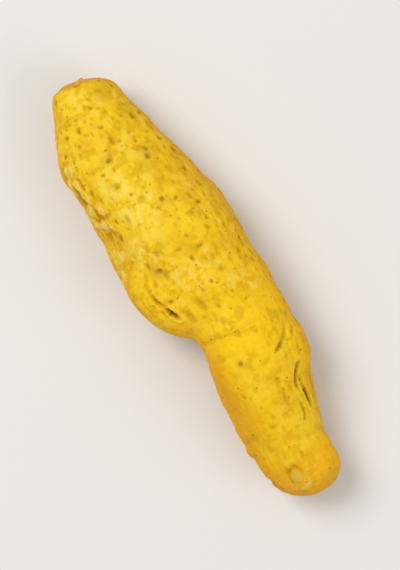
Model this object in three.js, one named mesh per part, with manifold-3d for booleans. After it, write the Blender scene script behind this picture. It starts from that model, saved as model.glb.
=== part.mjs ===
// A dried finger of turmeric, lying on a table. Millimetres, +Z up.
// +X runs from the blunt stem end, where it broke off, to the growing tip, +Y across it, and the
// origin is on the table, under the middle of the finger.
//
// The finger grew as one piece: a stout body, a thinner tip that grew on from the body's far
// end, and buds on its flanks that never opened. Each of these is a closed form of its own
// here. They are joined into one solid, and its underside is worn flat where it rests.

import * as THREE from 'three';
import { mergeVertices } from 'three/addons/utils/BufferGeometryUtils.js';
import Module from 'manifold-3d';

// ---- Driving dimensions -------------------------------------------------------------------

const BODY_LENGTH = 37.4; // from the stem end to the body's far end
const BODY_WIDTH = 16.8; // the widest of the body, across Y
const BODY_HEIGHT = 14.4; // the tallest of the body
const BODY_END = 4.8; // the length of the body's round far end
const STEM_END = 2.2; // the length of the rubbed, round edge of its stem end
const STEM_SLANT = 15; // degrees the stem end is off square
const TIP_LENGTH = 23.4; // how far the tip grows on past the body
const TIP_WIDTH = 12.8; // the widest of the tip, just past the body
const TIP_HEIGHT = 12.6; // the tallest of the tip
const TIP_END = 3.2; // the length of the tip's round end
const REST_WEAR = 0.35; // how deep the underside is worn flat

const SLANT_REACH = 9; // how far along the body its stem end's slant is felt
const TIP_ROOTING = 12; // how far back inside the body the tip starts
const ROOTED_END = 2; // the length of the tip's round end inside the body

const FACETS_ROUND = 36; // facets round a limb
const FACET_LENGTH = 1.25; // the length of a limb's facets
const END_FACETS = 6; // facets along a limb's round end
const BUD_FACETS = 20; // facets round a bud

// Lumps that drying leaves on a limb: how many stand round it, the length of one wave along it,
// their height as a share of the limb's radius, and where round it they start, in radians.
const LUMPS = [
	{ lobes: 1, wave: 23, height: 0.02, start: 0.6 },
	{ lobes: 2, wave: 61, height: 0.026, start: 2.1 },
	{ lobes: 3, wave: 37, height: 0.022, start: 4.0 },
	{ lobes: 5, wave: 19, height: 0.012, start: 1.3 },
];

// Old leaf rings: each is a shallow waist round a limb, at a share of its length, that leans
// forward on its +Y side by so much and back on the other.
const LEAF_RING_DEPTH = 0.26;
const LEAF_RING_WIDTH = 1.2;

// ---- Limbs --------------------------------------------------------------------------------

/**
 * A limb of the finger. It lies along X from its start, and passes smoothly through its
 * stations: [ share of the length, share of the width, share of the height, how far its middle
 * is off along Y, how far its underside is above the table ]. Each of its two ends is round,
 * and its near end is so many degrees off square.
 */
function makeLimb( { start, length, width, height, ends, slant, stations, leafRings } ) {

	const slope = Math.tan( THREE.MathUtils.degToRad( slant ) );
	const curve = new THREE.CubicInterpolant(
		stations.map( ( [ share ] ) => share * length ),
		stations.flatMap( ( [ , ...values ] ) => values ),
		4
	);

	/** The middle and the half sizes of the limb's section, so far along it. */
	function sectionAt( along ) {

		const [ widthShare, heightShare, offset, clearance ] = curve.evaluate( along );
		const halfWidth = widthShare * width / 2;
		const halfHeight = heightShare * height / 2;
		const middle = new THREE.Vector3( start + along, offset, halfHeight + clearance - REST_WEAR );
		return { middle, halfWidth, halfHeight };

	}

	/** The skin's distance from the middle, as a share of what it would be on a smooth limb. */
	function swellAt( along, turn, radius ) {

		let swell = 1;
		for ( const lump of LUMPS ) {

			const phase = lump.lobes * turn + lump.start + along * 2 * Math.PI / lump.wave;
			swell += lump.height * Math.cos( phase );

		}

		for ( const ring of leafRings ) {

			const ringAlong = ring.at * length + ring.lean * Math.cos( turn );
			const off = ( along - ringAlong ) / LEAF_RING_WIDTH;
			swell -= LEAF_RING_DEPTH / radius * Math.exp( - off * off );

		}

		return swell;

	}

	/** The point so far along the limb, turned from +Y towards +Z, and a share of the way out to the skin. */
	function pointAt( along, turn, share = 1 ) {

		const { middle, halfWidth, halfHeight } = sectionAt( along );
		const swell = share * swellAt( along, turn, halfHeight );
		const across = halfWidth * swell * Math.cos( turn );
		const up = halfHeight * swell * Math.sin( turn );
		const forward = slope * across * Math.max( 1 - along / SLANT_REACH, 0 );
		return middle.add( new THREE.Vector3( forward, across, up ) );

	}

	return { length, ends, sectionAt, pointAt };

}

/** A limb's closed skin: a capsule whose rings are laid along the limb and grown to its skin. */
function limbGeometry( { length, ends, pointAt } ) {

	const straight = length - ends[ 0 ] - ends[ 1 ];
	const facetsAlong = Math.round( straight / FACET_LENGTH );
	const capsule = new THREE.CapsuleGeometry( 1, 2, END_FACETS, FACETS_ROUND, facetsAlong );
	const position = capsule.getAttribute( 'position' );

	for ( let i = 0; i < position.count; i ++ ) {

		const vertex = new THREE.Vector3().fromBufferAttribute( position, i );

		// The capsule stands along its own y: straight from -1 to 1, then a round end each way.
		const along = ends[ 0 ] * ( 1 + Math.min( vertex.y + 1, 0 ) )
			+ straight * ( THREE.MathUtils.clamp( vertex.y, - 1, 1 ) + 1 ) / 2
			+ ends[ 1 ] * Math.max( vertex.y - 1, 0 );
		const turn = Math.atan2( vertex.x, vertex.z );
		const point = pointAt( along, turn, Math.hypot( vertex.x, vertex.z ) );
		position.setXYZ( i, point.x, point.y, point.z );

	}

	return capsule;

}

/**
 * A bud pressed against a limb's skin, at a share of the limb's length and so many degrees from
 * +Y towards +Z. It is an ellipsoid, longest along the limb, that stands so far out of the skin
 * and is rooted so deep under it.
 */
function budGeometry( { limb, at, turn, length, breadth, stands, rooted } ) {

	const along = at * limb.length;
	const turned = THREE.MathUtils.degToRad( turn );
	const skin = limb.pointAt( along, turned );
	const forward = limb.pointAt( along + 1, turned ).sub( limb.pointAt( along - 1, turned ) ).normalize();
	const outward = skin.clone().sub( limb.sectionAt( along ).middle );
	outward.addScaledVector( forward, - outward.dot( forward ) ).normalize();
	const sideways = new THREE.Vector3().crossVectors( forward, outward );

	return new THREE.SphereGeometry( 1, BUD_FACETS, BUD_FACETS / 2 )
		.scale( length / 2, ( stands + rooted ) / 2, breadth / 2 )
		.translate( 0, ( stands - rooted ) / 2, 0 )
		.applyMatrix4( new THREE.Matrix4().makeBasis( forward, outward, sideways ).setPosition( skin ) );

}

// ---- The finger's own limbs and buds ------------------------------------------------------

const body = makeLimb( {
	start: 0,
	length: BODY_LENGTH,
	width: BODY_WIDTH,
	height: BODY_HEIGHT,
	ends: [ STEM_END, BODY_END ],
	slant: STEM_SLANT,
	stations: [
		[ 0.00, 0.45, 0.50, - 0.3, 2.6 ],
		[ 0.08, 0.54, 0.61, - 0.6, 1.9 ],
		[ 0.24, 0.79, 0.80, - 1.1, 0.8 ],
		[ 0.40, 0.89, 0.91, - 0.5, 0.2 ],
		[ 0.57, 0.98, 0.99, 0.3, 0.0 ],
		[ 0.74, 0.98, 1.00, 0.8, 0.0 ],
		[ 0.87, 0.91, 0.95, 1.7, 0.3 ],
		[ 1.00, 0.82, 0.86, 2.4, 0.9 ],
	],
	leafRings: [ { at: 0.26, lean: 1.1 }, { at: 0.51, lean: - 0.9 }, { at: 0.76, lean: 1.0 } ],
} );

// The tip leaves the body flush with its +Y flank, so the other flank steps in behind it.
const bodyShoulder = body.sectionAt( BODY_LENGTH - BODY_END );
const flush = bodyShoulder.middle.y + bodyShoulder.halfWidth - TIP_WIDTH / 2;

const tip = makeLimb( {
	start: BODY_LENGTH - TIP_ROOTING,
	length: TIP_ROOTING + TIP_LENGTH,
	width: TIP_WIDTH,
	height: TIP_HEIGHT,
	ends: [ ROOTED_END, TIP_END ],
	slant: 0,
	stations: [
		[ 0.00, 0.60, 0.60, flush - 0.4, 3.2 ],
		[ 0.23, 0.96, 0.97, flush, 1.0 ],
		[ 0.35, 0.99, 1.00, flush - 0.1, 0.6 ],
		[ 0.49, 1.00, 0.98, flush - 0.8, 0.3 ],
		[ 0.60, 0.95, 0.95, flush - 1.4, 0.1 ],
		[ 0.72, 0.83, 0.87, flush - 1.9, 0.1 ],
		[ 0.83, 0.75, 0.80, flush - 2.0, 0.3 ],
		[ 1.00, 0.60, 0.66, flush - 1.3, 1.3 ],
	],
	leafRings: [ { at: 0.40, lean: 1.3 }, { at: 0.58, lean: - 0.8 }, { at: 0.78, lean: 0.9 } ],
} );

const buds = [
	// The shoulder: a big bud beside the tip's root that swelled and shrank back.
	{ limb: body, at: 0.815, turn: 174, length: 13, breadth: 10.4, stands: 0.6, rooted: 6.5 },
	// The knuckle, on the other flank, where the tip starts to narrow.
	{ limb: tip, at: 0.49, turn: 8, length: 10, breadth: 8.6, stands: 0.7, rooted: 5.5 },
	// Dormant buds, to the left and right in turn.
	{ limb: body, at: 0.25, turn: 178, length: 7, breadth: 5.6, stands: 0.5, rooted: 3.6 },
	{ limb: body, at: 0.50, turn: - 34, length: 6.4, breadth: 5.4, stands: 0.45, rooted: 3.4 },
	{ limb: tip, at: 0.75, turn: 190, length: 5.4, breadth: 4.6, stands: 0.4, rooted: 3 },
	// The bud of the growing point.
	{ limb: tip, at: 0.92, turn: 122, length: 2.8, breadth: 2.6, stands: 0.5, rooted: 1.6 },
];

// ---- Joining and wearing flat -------------------------------------------------------------

const wasm = await Module();
wasm.setup();

function solidOf( geometry ) {

	geometry.deleteAttribute( 'normal' );
	geometry.deleteAttribute( 'uv' );
	const welded = mergeVertices( geometry );
	return new wasm.Manifold( new wasm.Mesh( {
		numProp: 3,
		vertProperties: new Float32Array( welded.getAttribute( 'position' ).array ),
		triVerts: new Uint32Array( welded.index.array ),
	} ) );

}

function geometryOf( solid ) {

	const { vertProperties, triVerts } = solid.getMesh();
	const geometry = new THREE.BufferGeometry();
	geometry.setAttribute( 'position', new THREE.BufferAttribute( vertProperties, 3 ) );
	geometry.setIndex( new THREE.BufferAttribute( triVerts, 1 ) );
	geometry.computeVertexNormals();
	return geometry;

}

const BLOCK = 4 * ( BODY_LENGTH + TIP_LENGTH ); // wider than the finger every way

// All that lies under the table's top.
const underTable = new THREE.BoxGeometry( BLOCK, BLOCK, BLOCK )
	.translate( 0, 0, - BLOCK / 2 );

let finger = solidOf( limbGeometry( body ) ).add( solidOf( limbGeometry( tip ) ) );
for ( const bud of buds ) {

	finger = finger.add( solidOf( budGeometry( bud ) ) );

}

finger = finger.subtract( solidOf( underTable ) );

// ---- The part -----------------------------------------------------------------------------

const geometry = geometryOf( finger );
geometry.computeBoundingBox();
const centre = geometry.boundingBox.getCenter( new THREE.Vector3() );
geometry.translate( - centre.x, - centre.y, 0 );

const turmericSkin = new THREE.MeshStandardMaterial( {
	color: new THREE.Color().setRGB( 0.91, 0.75, 0.18, THREE.SRGBColorSpace ),
	roughness: 0.85,
	metalness: 0,
} );

const turmericRoot = new THREE.Mesh( geometry, turmericSkin );
turmericRoot.name = 'turmeric_root';

const part = new THREE.Group();
part.add( turmericRoot );

export default part;
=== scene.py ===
"""Looks for one dried finger of turmeric that lies on a pale table.

The CAD solid gives the finger's form. Here it becomes an even net of quads, whose skin then gets
what drying leaves on it: leaf rings, wrinkles, pits, root scars, creases, a rubbed flank and an
old break. These move the skin itself, and most leave a mask on it too, from 0 to 1, which the
skin's material reads. Tones, and pale powder with painted light on high spots that face up, leave
masks only. The material also paints shade on the flanks and in the hollows, pits, creases and
slits, the pits and creases being partly their own darker skin, and paints highlights on crease
lips, the bud's lip and the shoulder's crown. Blender's unit is the metre, and the skin is worked
in millimetres.
"""

import math

import bpy
import numpy as np
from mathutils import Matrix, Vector, kdtree, noise


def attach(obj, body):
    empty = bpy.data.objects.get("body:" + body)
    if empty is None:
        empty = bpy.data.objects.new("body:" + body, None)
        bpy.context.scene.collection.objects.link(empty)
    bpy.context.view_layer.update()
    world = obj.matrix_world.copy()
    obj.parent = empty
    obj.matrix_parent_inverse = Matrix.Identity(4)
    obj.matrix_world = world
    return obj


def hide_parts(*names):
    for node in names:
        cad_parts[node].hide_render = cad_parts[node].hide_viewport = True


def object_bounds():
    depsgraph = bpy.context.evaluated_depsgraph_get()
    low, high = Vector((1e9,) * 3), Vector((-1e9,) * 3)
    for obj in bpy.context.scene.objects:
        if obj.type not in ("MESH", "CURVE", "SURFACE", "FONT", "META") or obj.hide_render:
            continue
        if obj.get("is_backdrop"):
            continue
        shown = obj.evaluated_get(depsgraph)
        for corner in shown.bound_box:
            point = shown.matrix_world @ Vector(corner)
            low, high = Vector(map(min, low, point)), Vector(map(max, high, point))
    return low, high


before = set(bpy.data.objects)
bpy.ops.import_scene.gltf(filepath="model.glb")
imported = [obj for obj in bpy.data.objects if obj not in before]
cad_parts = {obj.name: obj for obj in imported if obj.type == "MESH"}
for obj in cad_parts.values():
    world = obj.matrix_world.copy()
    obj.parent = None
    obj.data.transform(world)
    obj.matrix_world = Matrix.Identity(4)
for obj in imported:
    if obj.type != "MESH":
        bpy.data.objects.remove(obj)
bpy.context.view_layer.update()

# Metres in a millimetre.
MM = 0.001
NODE = "turmeric_root"

# ---- The net of quads ---------------------------------------------------------------------

# The finer this is, the more faces: 0.38 keeps them below 196,000, where the STL stays whole.
VOXEL = 0.38 * MM
SOFTENING_STEPS = 9


def applied(obj):
    """The mesh that an object's modifiers make, as a mesh of its own."""
    graph = bpy.context.evaluated_depsgraph_get()
    return bpy.data.meshes.new_from_object(obj.evaluated_get(graph))


def even_net(node):
    """A CAD node's form as an even net of quads, with its hard joins softened."""
    net = bpy.data.objects.new("net", bpy.data.objects[node].data.copy())
    bpy.context.scene.collection.objects.link(net)
    remesh = net.modifiers.new("remesh", "REMESH")
    remesh.mode = "VOXEL"
    remesh.voxel_size = VOXEL
    soften = net.modifiers.new("soften", "SMOOTH")
    soften.factor = 0.5
    soften.iterations = SOFTENING_STEPS
    finer = net.modifiers.new("finer", "SUBSURF")
    finer.levels = 1
    mesh = applied(net)
    bpy.data.objects.remove(net)
    return mesh


# ---- The skin -----------------------------------------------------------------------------


def smooth_step(values, low, high):
    """0 below low, 1 above high, and a soft rise between."""
    share = np.clip((values - low) / (high - low), 0, 1)
    return share * share * (3 - 2 * share)


def bump_at(values, middle, width):
    """1 at the middle, falling away softly on both sides."""
    return np.exp(-(((values - middle) / width) ** 2))


def turned_from(turns, middle):
    """The turns as seen from a middle one, from minus half a turn to half a turn, in radians."""
    return np.angle(np.exp(1j * (turns - middle)))


class Skin:
    """The finger's skin: its points in mm, and how far each is raised or sunk along its normal."""

    # How far apart the finger's sections are measured, in mm.
    SLICE = 0.5

    def __init__(self, mesh):
        self.mesh = mesh
        count = len(mesh.vertices)
        flat = np.empty(count * 3)
        mesh.vertices.foreach_get("co", flat)
        self.points = flat.reshape(count, 3) / MM
        normals = np.empty(count * 3, dtype=np.float32)
        mesh.vertex_normals.foreach_get("vector", normals)
        self.normals = normals.reshape(count, 3).astype(float)
        self.raised = np.zeros(count)
        self.masks = {}

        self.length = np.ptp(self.points[:, 0])
        self.along = self.points[:, 0] - self.points[:, 0].min()
        self.measure_sections()
        self.tree = kdtree.KDTree(count)
        for index, point in enumerate(self.points):
            self.tree.insert(point, index)
        self.tree.balance()

    def measure_sections(self):
        """Finds each point's turn round the finger's middle line, and the finger's radius there."""
        slices = np.arange(0, self.length + self.SLICE, self.SLICE)
        middles = []
        for at in slices:
            ring = self.points[np.abs(self.along - at) < self.SLICE]
            low, high = ring[:, 1:].min(axis=0), ring[:, 1:].max(axis=0)
            middles.append([*(low + high) / 2, (high - low).mean() / 2])
        middles = np.array(middles)
        y, z, radius = (np.interp(self.along, slices, middles[:, k]) for k in range(3))
        self.turn = np.arctan2(self.points[:, 2] - z, self.points[:, 1] - y)
        self.radius = radius

    def grain(self, across, along, seed, octaves=1):
        """Smooth noise from -1 to 1 whose grains measure so many mm across and along the finger."""
        offset = np.array([seed * 17.3, seed * 5.1, seed * 29.7])
        places = self.points / np.array([along, across, across]) + offset
        if octaves == 1:
            return np.array([noise.noise(Vector(p)) for p in places])
        return np.array([noise.fractal(Vector(p), 0.9, 2.0, octaves) for p in places])

    def spot(self, share, degrees):
        """The skin's point at a share of the length, turned so far from +Y towards +Z."""
        off_turn = turned_from(self.turn, math.radians(degrees)) * self.radius
        off_along = self.along - share * self.length
        return self.points[np.argmin(off_along**2 + off_turn**2)]

    def near(self, point, reach):
        """The points within reach of one, and the way to each."""
        found = np.array([index for _, index, _ in self.tree.find_range(point, reach)])
        return found, self.points[found] - point

    def mask(self, name):
        return self.masks.setdefault(name, np.zeros(len(self.points)))

    def stain(self, name, amounts, where=slice(None)):
        """Leaves a mask on the skin, where it isn't stronger already."""
        mask = self.mask(name)
        mask[where] = np.maximum(mask[where], amounts)

    def finish(self):
        """Moves the skin, keeps it on the table, and hands the masks to the mesh."""
        moved = self.points + self.normals * self.raised[:, None]
        moved[:, 2] = np.maximum(moved[:, 2], 0)
        self.mesh.vertices.foreach_set("co", (moved * MM).ravel())
        for name, values in self.masks.items():
            attribute = self.mesh.attributes.new(name, "FLOAT", "POINT")
            attribute.data.foreach_set("value", np.clip(values, 0, 1))
        self.mesh.update()


# ---- What drying leaves on the skin -------------------------------------------------------

# Leaf rings: share of the length, lean in mm, depth in mm.
LEAF_RINGS = [
    (0.095, 0.6, 0.05), (0.170, -0.5, 0.06), (0.260, 0.9, 0.08), (0.345, -0.4, 0.05),
    (0.430, -0.8, 0.08), (0.505, 0.5, 0.07), (0.630, 1.2, 0.16), (0.672, 0.9, 0.10),
    (0.720, -0.6, 0.07), (0.775, 0.5, 0.09), (0.830, -0.7, 0.08), (0.880, 0.4, 0.09),
    (0.925, -0.3, 0.07),
]
RING_WIDTH = 0.34

# Creases: their points as (share of the length, degrees), width in mm, depth in mm.
CREASES = [
    # Between the shoulder and the body, faint at first and then a dark slit.
    ([(0.415, 136), (0.451, 140), (0.484, 138), (0.513, 136), (0.540, 137)], 0.38, 0.20),
    ([(0.514, 136), (0.528, 137), (0.543, 137)], 0.36, 0.80),
    ([(0.443, 150), (0.484, 152), (0.525, 153)], 0.30, 0.12),
    # Hollows above it, between low ridges.
    ([(0.530, 124), (0.548, 126), (0.564, 128)], 0.55, 0.16),
    ([(0.520, 108), (0.534, 105), (0.547, 104)], 0.50, 0.13),
    ([(0.572, 103), (0.592, 102), (0.608, 102)], 0.45, 0.11),
    # The knuckle, on the side away from the shoulder.
    ([(0.638, 37), (0.662, 41), (0.679, 51), (0.692, 63), (0.700, 75)], 0.32, 0.18),
    ([(0.684, 56), (0.696, 69)], 0.34, 0.30),
    ([(0.650, 26), (0.676, 33), (0.690, 44)], 0.26, 0.14),
    # Where the tip's buds met, beyond the knuckle.
    ([(0.736, 37), (0.743, 44), (0.757, 50), (0.774, 53), (0.792, 51)], 0.36, 0.34),
    ([(0.786, 42), (0.808, 38), (0.830, 36)], 0.40, 0.52),
    ([(0.764, 45), (0.780, 43)], 0.36, 0.28),
    ([(0.766, 72), (0.789, 74), (0.806, 71)], 0.30, 0.13),
    ([(0.812, 55), (0.830, 51), (0.850, 55)], 0.30, 0.22),
    # Under the finger and on its flanks.
    ([(0.745, 20), (0.790, 14), (0.835, 12)], 0.34, 0.22),
    ([(0.250, -40), (0.300, -46), (0.350, -42)], 0.34, 0.25),
    ([(0.480, -20), (0.505, -38), (0.500, -60)], 0.30, 0.24),
    ([(0.700, 205), (0.740, 212), (0.780, 209)], 0.30, 0.24),
    ([(0.545, 196), (0.572, 214), (0.580, 236)], 0.34, 0.34),
]

# A crease deeper than this, in mm, is a dark slit.
SLIT_DEPTH = 0.5

# Points along a crease's route are about this far apart, in mm. A degree of turn is about
# 0.12 mm round the finger.
ROUTE_STEP = 0.25
MM_PER_DEGREE = 0.12

# Root scars: share of the length, degrees, radius in mm.
ROOT_SCARS = [
    (0.221, 59, 0.60), (0.311, 77, 0.44), (0.439, 121, 0.46), (0.685, 113, 0.44),
    (0.190, 98, 0.36), (0.180, 190, 0.60), (0.350, -8, 0.70), (0.345, 200, 0.62),
    (0.500, 214, 0.66), (0.610, -18, 0.60), (0.655, 196, 0.58), (0.745, -28, 0.60),
    (0.800, 186, 0.52), (0.860, 12, 0.50), (0.430, -66, 0.72), (0.300, -118, 0.66),
    (0.560, -96, 0.70), (0.705, -112, 0.56), (0.140, -30, 0.52), (0.905, 172, 0.42),
]

# The bud of the growing point: share of the length, degrees, radius in mm.
GROWING_POINT = (0.947, 110, 1.05)

# Pits: how many, the least distance between two, then radius and depth from and to, all in mm.
PITS = {"count": 240, "spacing": 1.15, "sizes": (0.22, 0.46), "depths": (0.06, 0.24)}
FAINT_PITS = {"count": 620, "spacing": 0.75, "sizes": (0.16, 0.34), "depths": (0.02, 0.09)}
DIMPLES = {"count": 190, "spacing": 1.5, "sizes": (0.42, 0.62), "depths": (0.03, 0.10)}

# How far a pit is stretched along the finger, from and to.
PIT_STRETCH = (0.6, 1.8)

# Where the crowd of pits at the stem end thins out, and where the top's pits grow sparse, both
# from and to, in mm from the stem end.
CROWDED_STEM = (8, 16)
SPARSE_TOP = (26, 40)

# Where the skin is free of pits: share of the length, degrees, radius in mm.
BARE_SPOTS = [(0.385, 86, 1.2), (0.470, 122, 1.0), (0.580, 62, 2.6)]

# How far out a mark is worked, in its own radii or widths. It has all but faded away by then.
CREASE_REACH = 3.5
PIT_REACH = 5
SCAR_REACH = 4
BUD_REACH = 4
PATCH_REACH = 3

# The rubbed flank: where it begins and ends, in mm from the stem end, its degrees, and how far
# round from there it fades, in radians.
RUBBED_START = (7, 12)
RUBBED_END = (18, 23)
RUBBED_TURN = math.radians(152)
RUBBED_FADE = (0.12, 0.50)

# The pale dust high on the shoulder's flank: where it begins and ends, in mm from the stem end,
# and the turns over which it comes on.
DUSTY_START = (2, 5)
DUSTY_END = (24, 28)
DUSTY_TURNS = (math.radians(138), math.radians(158))

# The broken end: where its face ends, in mm from the stem end, how deep it is sunk, and the ring
# between rind and core.
BREAK_END = (2.5, 3.5)
BREAK_DEPTH = 0.30
CORE_RADIUS = 2.3
CORE_RING_WIDTH = 0.22

# The knuckle's bright skin: share of the length, and how far it spreads in mm.
BRIGHT_KNUCKLE = 0.625
BRIGHT_SPREAD = 5.0

# The tip's orange skin: the shares of the length over which it comes on.
ORANGE_TIP = (0.87, 0.96)

# The shoulder's crown, with painted light and no painted flank shade: share of the length, degrees.
SHOULDER_CROWN = (0.490, 146)
CROWN_REACH = 5.0

# Patches of tone on the top side, by mask: strength, share of the length, degrees, radius in mm.
TONE_PATCHES = {
    "olive": [
        (0.9, 0.207, 56, 1.3), (0.8, 0.236, 67, 1.2), (0.7, 0.315, 77, 0.9),
        (0.8, 0.431, 79, 1.0), (0.9, 0.439, 122, 1.0), (0.6, 0.443, 46, 0.8),
        (0.8, 0.189, 98, 1.0), (0.6, 0.684, 114, 0.9), (0.9, 0.057, 59, 1.8),
        (0.8, 0.115, 39, 1.6), (0.6, 0.131, 61, 0.9), (0.6, 0.279, 35, 0.9),
    ],
    "dust_and_top_light": [
        (0.9, 0.534, 53, 2.0), (0.7, 0.459, 64, 1.8), (0.65, 0.475, 92, 2.8),
        (0.8, 0.311, 104, 3.0), (0.8, 0.393, 128, 2.6), (0.8, 0.246, 113, 2.4),
    ],
    "glow": [(0.9, 0.930, 39, 2.4), (0.7, 0.910, 10, 2.0), (0.5, 0.959, 70, 1.6)],
}


def add_lumps(skin):
    """The uneven shrinking of the whole finger, coarse and fine."""
    skin.raised += 0.09 * skin.grain(5.5, 9.0, seed=1)
    skin.raised += 0.09 * skin.grain(2.2, 3.2, seed=2)
    skin.raised += 0.05 * skin.grain(0.9, 1.0, seed=3)
    skin.raised += 0.025 * skin.grain(0.45, 0.5, seed=25)


def add_wrinkles(skin):
    """Fine wrinkles along the finger, in patches."""
    ridges = 1 - 2 * np.abs(skin.grain(1.0, 7.0, seed=4))
    patches = smooth_step(skin.grain(6.0, 8.0, seed=5), -0.25, 0.35)
    amount = 0.25 + 0.75 * patches
    skin.raised += 0.075 * ridges * amount
    skin.stain("wrinkle", amount * smooth_step(-ridges, -0.3, 0.5))


def add_leaf_rings(skin):
    """Thin rings round the finger, which fade in and out, with a low lip on the stem side."""
    wander = 0.8 * skin.grain(4.0, 30.0, seed=6)
    fade = smooth_step(skin.grain(4.5, 6.0, seed=7), -0.25, 0.3)
    deeper = 1 + 0.9 * (1 - smooth_step(skin.normals[:, 2], -0.2, 0.6))
    for share, lean, depth in LEAF_RINGS:
        middle = share * skin.length + lean * np.cos(skin.turn) + wander
        groove = bump_at(skin.along, middle, RING_WIDTH) * fade
        lip = bump_at(skin.along, middle - 2.2 * RING_WIDTH, 1.6 * RING_WIDTH) * fade
        skin.raised += deeper * depth * (0.4 * lip - groove)
        skin.stain("ring", groove * deeper * depth / 0.2)


def add_hoops(skin):
    """Hoops round the finger, much finer than the leaf rings, in patches."""
    hoops = skin.grain(5.0, 0.55, seed=13)
    patches = smooth_step(skin.grain(5.0, 6.0, seed=14), -0.2, 0.4)
    skin.raised += 0.055 * hoops * patches
    skin.stain("hoop", smooth_step(-hoops, 0.0, 0.5) * patches)


def dense_route(skin, stops):
    """A route over the skin through the stops, as points close together."""
    shares, degrees = np.array(stops).T
    steps_along = int(np.ptp(shares) * skin.length / ROUTE_STEP)
    steps_round = int(np.ptp(degrees) * MM_PER_DEGREE / ROUTE_STEP)
    route = np.linspace(0, len(stops) - 1, max(2, steps_along + steps_round))
    stop_numbers = range(len(stops))
    route_shares = np.interp(route, stop_numbers, shares)
    route_degrees = np.interp(route, stop_numbers, degrees)
    return [skin.spot(*place) for place in zip(route_shares, route_degrees)]


def add_creases(skin):
    """Deep creases where buds, shoulder and tip meet, which thin out towards their ends."""
    for stops, width, depth in CREASES:
        spots = dense_route(skin, stops)
        groove = np.zeros(len(skin.points))
        for index, spot in enumerate(spots):
            taper = math.sin(math.pi * (index + 1) / (len(spots) + 1)) ** 0.8
            where, way = skin.near(spot, CREASE_REACH * width)
            distance = np.linalg.norm(way, axis=1)
            groove[where] = np.maximum(groove[where], taper * bump_at(distance, 0, width))
        lips = smooth_step(groove, 0.0, 0.12) * (1 - smooth_step(groove, 0.12, 0.5))
        skin.raised += depth * (0.30 * lips - groove)
        # Painted highlight: the lips beside a crease are painted pale lemon.
        skin.stain("lip", lips * min(1, depth / 0.3))
        # Painted shade, partly the crease's own browner skin: brown in the groove, and dark in a
        # slit.
        skin.stain("crease", groove**1.3 * min(1, depth / 0.36))
        if depth > SLIT_DEPTH:
            skin.stain("slit", smooth_step(groove, 0.35, 0.95))


def scattered(skin, count, spacing, seed):
    """Points of the skin picked at random, closer together where the skin is crowded with pits."""
    rng = np.random.default_rng(seed)
    stem_end = 1 - smooth_step(skin.along, *CROWDED_STEM)
    sparse_top = smooth_step(skin.along, *SPARSE_TOP) * smooth_step(skin.normals[:, 2], 0.0, 0.5)
    crowding = skin.grain(4.5, 5.5, seed=15) + 0.6 * stem_end - 0.5 * sparse_top
    chance = smooth_step(crowding, -0.45, 0.45)
    picked = []
    for index in rng.permutation(len(skin.points)):
        point = skin.points[index]
        if rng.random() > 0.04 + 0.96 * chance[index]:
            continue
        if picked and np.min(np.linalg.norm(np.array(picked) - point, axis=1)) < spacing:
            continue
        picked.append(point)
        if len(picked) == count:
            break
    return picked, rng


def add_pits(skin, mask, seed, count, spacing, sizes, depths):
    """Small ragged pits, longer along the finger or across it, each of its own size and depth."""
    picked, rng = scattered(skin, count, spacing, seed)
    ragged = 1 + 0.5 * skin.grain(0.45, 0.45, seed=12)
    bare = [(skin.spot(share, degrees), reach) for share, degrees, reach in BARE_SPOTS]
    for point in picked:
        size = rng.uniform(*sizes)
        depth = rng.uniform(*depths)
        stretch = rng.uniform(*PIT_STRETCH)
        if any(np.linalg.norm(point - spot) < reach for spot, reach in bare):
            continue
        where, way = skin.near(point, PIT_REACH * size)
        way = way / np.array([stretch, 1 / math.sqrt(stretch), 1 / math.sqrt(stretch)])
        distance = np.linalg.norm(way, axis=1) * ragged[where]
        pit = 1 - smooth_step(distance, 0.2 * size, 1.4 * size)
        skin.raised[where] -= depth * pit
        # Painted shade, partly the pit's own darker skin: the mask is as strong as the pit is deep.
        skin.stain(mask, pit * depth / depths[1], where)


def add_root_scars(skin):
    """Where roots were: a dark, sunken middle of ragged outline in a faint rim."""
    ragged = 1 + 0.5 * skin.grain(0.8, 0.8, seed=18)
    for share, degrees, radius in ROOT_SCARS:
        where, way = skin.near(skin.spot(share, degrees), SCAR_REACH * radius)
        distance = np.linalg.norm(way, axis=1) * ragged[where]
        rim = bump_at(distance, 1.2 * radius, 0.4 * radius)
        middle = bump_at(distance, 0, 0.75 * radius)
        skin.raised[where] += 0.05 * rim - 0.26 * middle
        skin.stain("scar", middle, where)
        skin.stain("rim", 0.4 * rim, where)


def add_growing_point(skin):
    """A small dry bud, flatter than long, in a ditch that is deeper on the stem's side of it."""
    share, degrees, radius = GROWING_POINT
    where, way = skin.near(skin.spot(share, degrees), BUD_REACH * radius)
    uneven = 1 + 0.35 * skin.grain(0.9, 0.9, seed=16)[where]
    distance = np.hypot(0.80 * way[:, 0], np.hypot(1.2 * way[:, 1], way[:, 2])) * uneven
    bud = 1 - smooth_step(distance, 0.2 * radius, radius)
    towards_stem = smooth_step(-way[:, 0] / radius, -0.9, 1.1)
    ditch = bump_at(distance, 1.05 * radius, 0.30 * radius)
    lip = bump_at(distance, 1.6 * radius, 0.35 * radius) * (1 - towards_stem)
    skin.raised[where] += 0.24 * bud - 0.20 * ditch * towards_stem + 0.12 * lip
    skin.stain("bud", bud, where)
    # Painted shade in the ditch on the stem's side, and a painted highlight on the lip beyond the
    # bud.
    skin.stain("crease", 0.5 * ditch * towards_stem**2, where)
    skin.stain("rubbed_and_lip_highlight", 0.35 * lip, where)


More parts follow.
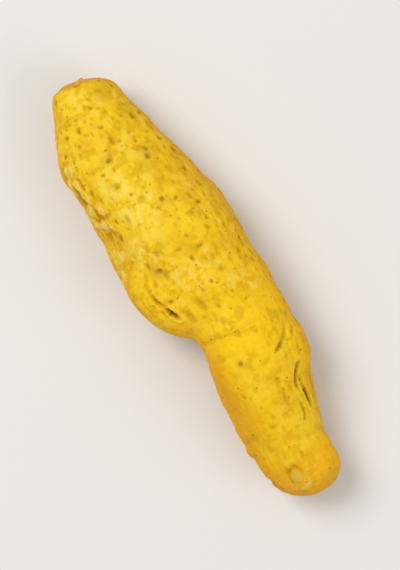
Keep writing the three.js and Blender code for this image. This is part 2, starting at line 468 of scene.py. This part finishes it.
def add_rubbed_flank(skin):
    """The flank on the shoulder's side, near the stem, whose skin is rubbed to pale crumbs."""
    zone = smooth_step(skin.along, *RUBBED_START) * (1 - smooth_step(skin.along, *RUBBED_END))
    off_turn = np.abs(turned_from(skin.turn, RUBBED_TURN))
    zone *= 1 - smooth_step(off_turn, *RUBBED_FADE)
    lumps = skin.grain(1.15, 1.35, seed=8, octaves=2)
    fray = skin.grain(0.45, 0.45, seed=17)
    crumb = smooth_step(lumps + 0.25 * fray + 0.45 * zone, 0.45, 0.85) * zone
    gap = smooth_step(-lumps - 0.25 * fray, 0.05, 0.50) * zone
    skin.raised += 0.15 * crumb + 0.06 * zone * fray - 0.18 * gap
    skin.stain("rubbed_and_lip_highlight", crumb)
    skin.stain("pit", 0.8 * gap)
    dusty = smooth_step(skin.along, *DUSTY_START) * (1 - smooth_step(skin.along, *DUSTY_END))
    dusty *= smooth_step(skin.turn, *DUSTY_TURNS)
    skin.stain("dust_and_top_light", dusty * smooth_step(lumps, -0.6, 0.4))


def add_broken_end(skin):
    """The old break at the stem end: dulled fibres, the ring round the core, and a torn rim."""
    towards_stem = -skin.normals[:, 0] + 0.05 * skin.grain(0.8, 0.8, seed=24, octaves=2)
    by_the_end = 1 - smooth_step(skin.along, *BREAK_END)
    facing = smooth_step(towards_stem, 0.76, 0.88) * by_the_end
    torn_rim = bump_at(towards_stem, 0.80, 0.035) * by_the_end
    middle = np.average(skin.points, axis=0, weights=facing)
    ragged = 0.5 * skin.grain(1.1, 1.1, seed=10)
    from_middle = np.linalg.norm((skin.points - middle)[:, 1:], axis=1) + ragged
    core_ring = bump_at(from_middle, CORE_RADIUS, CORE_RING_WIDTH)
    crumbs = skin.grain(0.7, 0.7, seed=9, octaves=3)
    skin.raised += facing * (0.15 * crumbs + 0.4 * ragged + 0.12 * core_ring - BREAK_DEPTH)
    skin.stain("break_face", facing)
    skin.stain("core_ring", core_ring * facing)
    skin.stain("crease", 0.6 * torn_rim * smooth_step(crumbs, -0.4, 0.2))


def add_tones(skin):
    """Painted shade on flanks and light on the shoulder crown; tones on knuckle, tip and patches.
    """
    up = skin.normals[:, 2]
    # Painted shade: orange on faces that turn away from up, and more of it on the tip's side that
    # faces -Y.
    skin.stain("flank_shade", 0.8 * (1 - smooth_step(up, 0.10, 0.92)))
    under_tip = smooth_step(skin.along, 36, 41) * smooth_step(-skin.normals[:, 1], 0.0, 0.5)
    skin.stain("flank_shade", under_tip * (1 - smooth_step(up, 0.45, 0.98)))
    wander = 1.6 * skin.grain(4.0, 4.0, seed=20, octaves=2)
    knuckle = BRIGHT_KNUCKLE * skin.length
    skin.stain("bright_tone_and_lit_crown", bump_at(skin.along + wander, knuckle, BRIGHT_SPREAD))
    tip_start, tip_end = (share * skin.length for share in ORANGE_TIP)
    skin.stain("tip", smooth_step(skin.along + wander, tip_start, tip_end))
    # Painted light: the shoulder's crown is painted bright gold, and the painted flank shade is
    # taken off it.
    crown, way = skin.near(skin.spot(*SHOULDER_CROWN), CROWN_REACH)
    on_crown = 1 - smooth_step(np.linalg.norm(way * (0.6, 1.3, 1.3), axis=1), 0.8, 3.6)
    skin.mask("flank_shade")[crown] *= 1 - on_crown
    skin.stain("bright_tone_and_lit_crown", on_crown, crown)
    ragged = 1 + 0.4 * skin.grain(1.0, 1.2, seed=26, octaves=2)
    for mask, patches in TONE_PATCHES.items():
        for strength, share, degrees, radius in patches:
            where, way = skin.near(skin.spot(share, degrees), PATCH_REACH * radius)
            distance = np.linalg.norm(way, axis=1) * ragged[where]
            patch = 1 - smooth_step(distance, 0.3 * radius, 1.3 * radius)
            skin.stain(mask, strength * patch, where)


def add_dust_and_top_light(skin):
    """Pale powder on high spots, which wears off elsewhere, and painted light where they face up.
    Painted shade goes into the hollows.
    """
    high = smooth_step(skin.raised, -0.15, 0.3)
    # Painted light: the dust is paler where the skin faces up.
    facing_up = smooth_step(skin.normals[:, 2], -0.2, 0.95)
    patches = smooth_step(skin.grain(3.0, 4.5, seed=11, octaves=2), -0.4, 0.5)
    older = 1 - 0.6 * smooth_step(skin.along / skin.length, 0.55, 0.70)
    dust_with_top_light = high * facing_up * older * (0.25 + 0.75 * patches)
    skin.stain("dust_and_top_light", dust_with_top_light * (1 - 0.7 * skin.mask("bright_tone_and_lit_crown")))
    # Painted shade: deeper orange wherever the skin is sunk.
    skin.stain("hollow", smooth_step(-skin.raised, 0.02, 0.35))


def turmeric_skin():
    """The finished skin as one object."""
    mesh = even_net(NODE)
    skin = Skin(mesh)
    add_lumps(skin)
    add_wrinkles(skin)
    add_leaf_rings(skin)
    add_hoops(skin)
    add_creases(skin)
    add_root_scars(skin)
    add_growing_point(skin)
    add_pits(skin, "pit", seed=21, **PITS)
    add_pits(skin, "faint_pit", seed=22, **FAINT_PITS)
    add_pits(skin, "dimple", seed=23, **DIMPLES)
    add_rubbed_flank(skin)
    add_broken_end(skin)
    add_tones(skin)
    add_dust_and_top_light(skin)
    skin.finish()
    mesh.shade_smooth()
    mesh.materials.clear()
    mesh.materials.append(skin_material())
    piece = bpy.data.objects.new("turmeric_root_skin", mesh)
    bpy.context.scene.collection.objects.link(piece)
    return piece


# ---- The skin's material ------------------------------------------------------------------


def linear(red, green, blue):
    """A colour given as it looks, from 0 to 255, as the light it sends back."""
    channels = [c / 255 for c in (red, green, blue)]
    return (*[c / 12.92 if c <= 0.04045 else ((c + 0.055) / 1.055) ** 2.4 for c in channels], 1)


BRIGHT_GOLD = linear(252, 203, 6)
GLOWING_GOLD = linear(252, 182, 2)
GOLDEN = linear(240, 194, 12)
LEMON = linear(241, 205, 36)
ORANGE = linear(226, 158, 6)
DEEP_ORANGE = linear(202, 130, 6)
OLIVE = linear(206, 164, 18)
OLIVE_PIT = linear(156, 116, 10)
BROWN_CREASE = linear(132, 80, 6)
DARK_SLIT = linear(84, 48, 6)
PALE_CRUMB_AND_LIP_HIGHLIGHT = linear(240, 208, 112)
PALE_CREAM = linear(246, 216, 96)
PALE_LEMON = linear(246, 212, 52)
BREAK_ORANGE = linear(206, 134, 22)
BREAK_PALE = linear(230, 176, 58)
BUD_GREY = linear(190, 158, 60)


class Paint:
    """Adds shader nodes to one material, each call giving the socket that comes out."""

    def __init__(self, material):
        self.tree = material.node_tree
        self.place = self.tree.nodes.new("ShaderNodeTexCoord").outputs["Object"]

    def node(self, kind, **settings):
        node = self.tree.nodes.new(kind)
        for name, value in settings.items():
            setattr(node, name, value)
        return node

    def feed(self, socket, value):
        """Links a socket to another, or sets it to a value."""
        if isinstance(value, bpy.types.NodeSocket):
            self.tree.links.new(value, socket)
        else:
            socket.default_value = value

    def mask(self, name):
        return self.node("ShaderNodeAttribute", attribute_name=name).outputs["Fac"]

    def noise(self, grain, stretch=(1, 1, 1), detail=3.0, rough=0.55):
        """Noise from 0 to 1 whose grains measure so many mm."""
        mapping = self.node("ShaderNodeMapping")
        self.feed(mapping.inputs["Vector"], self.place)
        mapping.inputs["Scale"].default_value = [1 / (grain * MM * s) for s in stretch]
        texture = self.node("ShaderNodeTexNoise")
        self.feed(texture.inputs["Vector"], mapping.outputs["Vector"])
        texture.inputs["Scale"].default_value = 1
        texture.inputs["Detail"].default_value = detail
        texture.inputs["Roughness"].default_value = rough
        return texture.outputs["Fac"]

    def cells(self, grain):
        """Of points scattered so many mm apart: the distance to the nearest, and its tint."""
        texture = self.node("ShaderNodeTexVoronoi")
        self.feed(texture.inputs["Vector"], self.place)
        texture.inputs["Scale"].default_value = 1 / (grain * MM)
        return texture.outputs["Distance"], texture.outputs["Color"]

    def span(self, value, low, high, to_low=0.0, to_high=1.0):
        """A value's place between low and high, softly, carried over to another span."""
        node = self.node("ShaderNodeMapRange", interpolation_type="SMOOTHSTEP")
        self.feed(node.inputs["Value"], value)
        node.inputs["From Min"].default_value = low
        node.inputs["From Max"].default_value = high
        node.inputs["To Min"].default_value = to_low
        node.inputs["To Max"].default_value = to_high
        return node.outputs["Result"]

    def calculate(self, operation, first, second):
        node = self.node("ShaderNodeMath", operation=operation)
        self.feed(node.inputs[0], first)
        self.feed(node.inputs[1], second)
        return node.outputs["Value"]

    def times(self, first, second):
        return self.calculate("MULTIPLY", first, second)

    def plus(self, first, second):
        return self.calculate("ADD", first, second)

    def mix(self, amount, under, over):
        """Two colours, one over the other by so much."""
        node = self.node("ShaderNodeMix", data_type="RGBA")
        self.feed(node.inputs[0], amount)
        self.feed(node.inputs[6], under)
        self.feed(node.inputs[7], over)
        return node.outputs[2]

    def bump(self, height, strength, distance, under=None):
        node = self.node("ShaderNodeBump")
        node.inputs["Strength"].default_value = strength
        node.inputs["Distance"].default_value = distance
        self.feed(node.inputs["Height"], height)
        if under is not None:
            self.feed(node.inputs["Normal"], under)
        return node.outputs["Normal"]


def skin_material():
    """Dried turmeric skin: its colour, its roughness and the grain too fine for the net."""
    material = bpy.data.materials.new("dried_turmeric")
    material.use_nodes = True
    shader = material.node_tree.nodes["Principled BSDF"]
    paint = Paint(material)

    # Skin colour, from the large drifts of tone down to the specks.
    drift = paint.span(paint.noise(9.0, stretch=(1.4, 1, 1)), 0.36, 0.64)
    colour = paint.mix(drift, GOLDEN, LEMON)
    blotch = paint.span(paint.noise(3.2, stretch=(1.5, 1, 1), detail=4), 0.48, 0.70)
    colour = paint.mix(paint.times(blotch, 0.42), colour, ORANGE)
    # The knuckle's bright tone, and painted light on the shoulder's crown.
    colour = paint.mix(paint.times(paint.mask("bright_tone_and_lit_crown"), 0.80), colour, BRIGHT_GOLD)
    colour = paint.mix(paint.times(paint.mask("tip"), 0.70), colour, ORANGE)
    # Painted shade: orange on the flanks.
    colour = paint.mix(paint.times(paint.mask("flank_shade"), 0.85), colour, ORANGE)
    colour = paint.mix(paint.times(paint.mask("glow"), 0.85), colour, GLOWING_GOLD)
    dapple = paint.noise(1.5, detail=4, rough=0.6)
    colour = paint.mix(paint.times(paint.span(dapple, 0.36, 0.50, 1, 0), 0.56), colour, OLIVE)
    # Pale dust, with painted light on the high spots that face up.
    dust_and_top_light = paint.times(paint.mask("dust_and_top_light"), paint.span(dapple, 0.42, 0.60))
    colour = paint.mix(paint.times(dust_and_top_light, 0.95), colour, PALE_CREAM)
    streak = paint.span(paint.noise(0.55, stretch=(7, 1, 1), detail=3), 0.48, 0.72)
    colour = paint.mix(paint.times(streak, 0.18), colour, ORANGE)
    # Painted shade in the hollows.
    colour = paint.mix(paint.times(paint.mask("hollow"), 0.38), colour, DEEP_ORANGE)
    colour = paint.mix(paint.times(paint.mask("wrinkle"), 0.22), colour, ORANGE)
    colour = paint.mix(paint.times(paint.mask("hoop"), 0.30), colour, ORANGE)
    colour = paint.mix(paint.times(paint.mask("ring"), 0.30), colour, DEEP_ORANGE)
    scuff = paint.span(paint.noise(0.50, stretch=(2.2, 1, 1), detail=4), 0.55, 0.72)
    colour = paint.mix(paint.times(scuff, 0.35), colour, PALE_LEMON)
    speck = paint.span(paint.noise(0.32, stretch=(1.6, 1, 1), detail=2), 0.62, 0.76)
    colour = paint.mix(paint.times(speck, 0.35), colour, OLIVE_PIT)
    # Painted shade in the open pores, partly their own darker skin.
    nearest, tint = paint.cells(1.05)
    open_pore = paint.span(tint, 0.45, 0.75)
    pore = paint.times(paint.span(nearest, 0.07, 0.17, 1.0, 0.0), open_pore)
    colour = paint.mix(paint.times(pore, 0.75), colour, OLIVE_PIT)

    # What the skin's own marks look like, with painted shade in dimples, pits, creases and slits
    # on top of their own darker skin, and painted highlights on lips.
    colour = paint.mix(paint.times(paint.mask("olive"), 0.60), colour, OLIVE)
    # Painted shade in dimples and pits, partly their own darker skin.
    colour = paint.mix(paint.times(paint.mask("dimple"), 0.55), colour, OLIVE)
    colour = paint.mix(paint.times(paint.mask("faint_pit"), 0.50), colour, OLIVE_PIT)
    colour = paint.mix(paint.times(paint.mask("pit"), 0.90), colour, OLIVE_PIT)
    colour = paint.mix(paint.times(paint.mask("rim"), 0.45), colour, PALE_CREAM)
    # Painted highlight on the creases' lips.
    colour = paint.mix(paint.times(paint.mask("lip"), 0.55), colour, PALE_LEMON)
    colour = paint.mix(paint.times(paint.mask("scar"), 0.70), colour, BROWN_CREASE)
    # Painted shade: brown in creases, partly their own browner skin, and dark in the deep slits.
    colour = paint.mix(paint.times(paint.mask("crease"), 0.75), colour, BROWN_CREASE)
    colour = paint.mix(paint.times(paint.mask("slit"), 0.85), colour, DARK_SLIT)
    # Pale rubbed crumbs, and a painted highlight on the bud's lip.
    frayed_and_lip_highlight = paint.times(paint.mask("rubbed_and_lip_highlight"), paint.span(paint.noise(0.5), 0.3, 0.6, 0.35, 0.75))
    colour = paint.mix(frayed_and_lip_highlight, colour, PALE_CRUMB_AND_LIP_HIGHLIGHT)
    colour = paint.mix(paint.times(paint.mask("bud"), 0.55), colour, BUD_GREY)
    fibre = paint.mix(paint.span(paint.noise(0.7, detail=5), 0.35, 0.65), BREAK_ORANGE, BREAK_PALE)
    fibre = paint.mix(paint.times(paint.mask("core_ring"), 0.7), fibre, BREAK_PALE)
    colour = paint.mix(paint.mask("break_face"), colour, fibre)
    paint.feed(shader.inputs["Base Color"], colour)

    # Hollows and frayed crumbs are duller than the rest.
    rough = paint.span(paint.noise(1.6, detail=4), 0.3, 0.7, 0.60, 0.80)
    rough = paint.plus(rough, paint.times(paint.mask("hollow"), 0.12))
    rough = paint.plus(rough, paint.times(paint.mask("rubbed_and_lip_highlight"), 0.15))
    paint.feed(shader.inputs["Roughness"], rough)
    shader.inputs["Specular IOR Level"].default_value = 0.14

    # Grain too fine for the net: fibres, hoops, open pores, a leathery cell pattern and dust.
    normal = paint.bump(paint.noise(0.35, stretch=(6, 1, 1), detail=3), 0.5, 0.12 * MM)
    hoops = paint.noise(0.30, stretch=(1, 9, 9), detail=2)
    normal = paint.bump(hoops, 0.4, 0.08 * MM, under=normal)
    normal = paint.bump(paint.span(pore, 0, 1, 1, 0), 0.6, 0.10 * MM, under=normal)
    normal = paint.bump(paint.cells(0.42)[0], 0.4, 0.06 * MM, under=normal)
    normal = paint.bump(paint.noise(0.14, detail=3, rough=0.7), 0.5, 0.05 * MM, under=normal)
    paint.feed(shader.inputs["Normal"], normal)
    return material


# ---- Table, light and camera --------------------------------------------------------------


# How far the table runs out from the middle, in metres.
TABLE_REACH = 1.2
TABLE_COLOUR = (0.78, 0.77, 0.75, 1)
STUDIO_WHITE = (1.0, 0.985, 0.96, 1)
STUDIO_STRENGTH = 0.5

# The camera's sensor and lens in mm, and how much taller its view is than the finger is long.
SENSOR_HEIGHT = 24
LENS = 120
VIEW_ROOM = 1.16


def pale_table():
    """A pale table top that runs out past every view."""
    mesh = bpy.data.meshes.new("table")
    corners = [
        (x * TABLE_REACH, y * TABLE_REACH, 0) for x, y in ((-1, -1), (1, -1), (1, 1), (-1, 1))
    ]
    mesh.from_pydata(corners, [], [(0, 1, 2, 3)])
    table = bpy.data.objects.new("table", mesh)
    material = bpy.data.materials.new("pale_table")
    material.use_nodes = True
    shader = material.node_tree.nodes["Principled BSDF"]
    shader.inputs["Base Color"].default_value = TABLE_COLOUR
    shader.inputs["Roughness"].default_value = 0.9
    mesh.materials.append(material)
    bpy.context.scene.collection.objects.link(table)
    table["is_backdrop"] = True


# The picture's own directions on the table: the finger runs down and to the right in it.
PICTURE_TURN = math.radians(61)
PICTURE_RIGHT = Vector((math.cos(PICTURE_TURN), math.sin(PICTURE_TURN), 0))
PICTURE_UP = Vector((-math.sin(PICTURE_TURN), math.cos(PICTURE_TURN), 0))


def soft_light(name, towards, distance, size, power):
    """A square soft light in the direction given, which faces the finger."""
    light = bpy.data.lights.new(name, "AREA")
    light.size = size
    light.energy = power
    lamp = bpy.data.objects.new(name, light)
    lamp.location = towards.normalized() * distance
    lamp.rotation_euler = towards.to_track_quat("Z", "Y").to_euler()
    bpy.context.scene.collection.objects.link(lamp)


def light_studio():
    """Even pale light from all round, a soft key light and a softer fill."""
    world = bpy.data.worlds.new("studio")
    world.use_nodes = True
    background = world.node_tree.nodes["Background"]
    background.inputs["Color"].default_value = STUDIO_WHITE
    background.inputs["Strength"].default_value = STUDIO_STRENGTH
    bpy.context.scene.world = world
    up = Vector((0, 0, 1))
    towards_key = up - PICTURE_RIGHT * 0.55 + PICTURE_UP * 0.35
    soft_light("key", towards_key, distance=0.6, size=0.30, power=2.0)
    towards_fill = up * 0.8 + PICTURE_RIGHT - PICTURE_UP * 0.5
    soft_light("fill", towards_fill, distance=0.7, size=0.5, power=1.3)


def place_camera():
    """Looks straight down at the finger, from far enough to see it without much perspective."""
    low, high = (Vector(corner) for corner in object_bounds())
    camera = bpy.data.cameras.new("camera")
    camera.sensor_fit = "VERTICAL"
    camera.sensor_height = SENSOR_HEIGHT
    camera.lens = LENS
    view_height = VIEW_ROOM * (high.x - low.x)
    distance = view_height * camera.lens / camera.sensor_height
    rig = bpy.data.objects.new("camera", camera)
    middle = (low + high) / 2
    rig.location = (middle.x, middle.y, high.z + distance)
    rig.rotation_euler = (0, 0, PICTURE_TURN)
    bpy.context.scene.collection.objects.link(rig)
    bpy.context.scene.camera = rig


# ---- Put together -------------------------------------------------------------------------

skin_piece = turmeric_skin()
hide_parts(NODE)
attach(skin_piece, "root")

pale_table()
light_studio()
place_camera()
bpy.context.scene.view_settings.view_transform = "Standard"
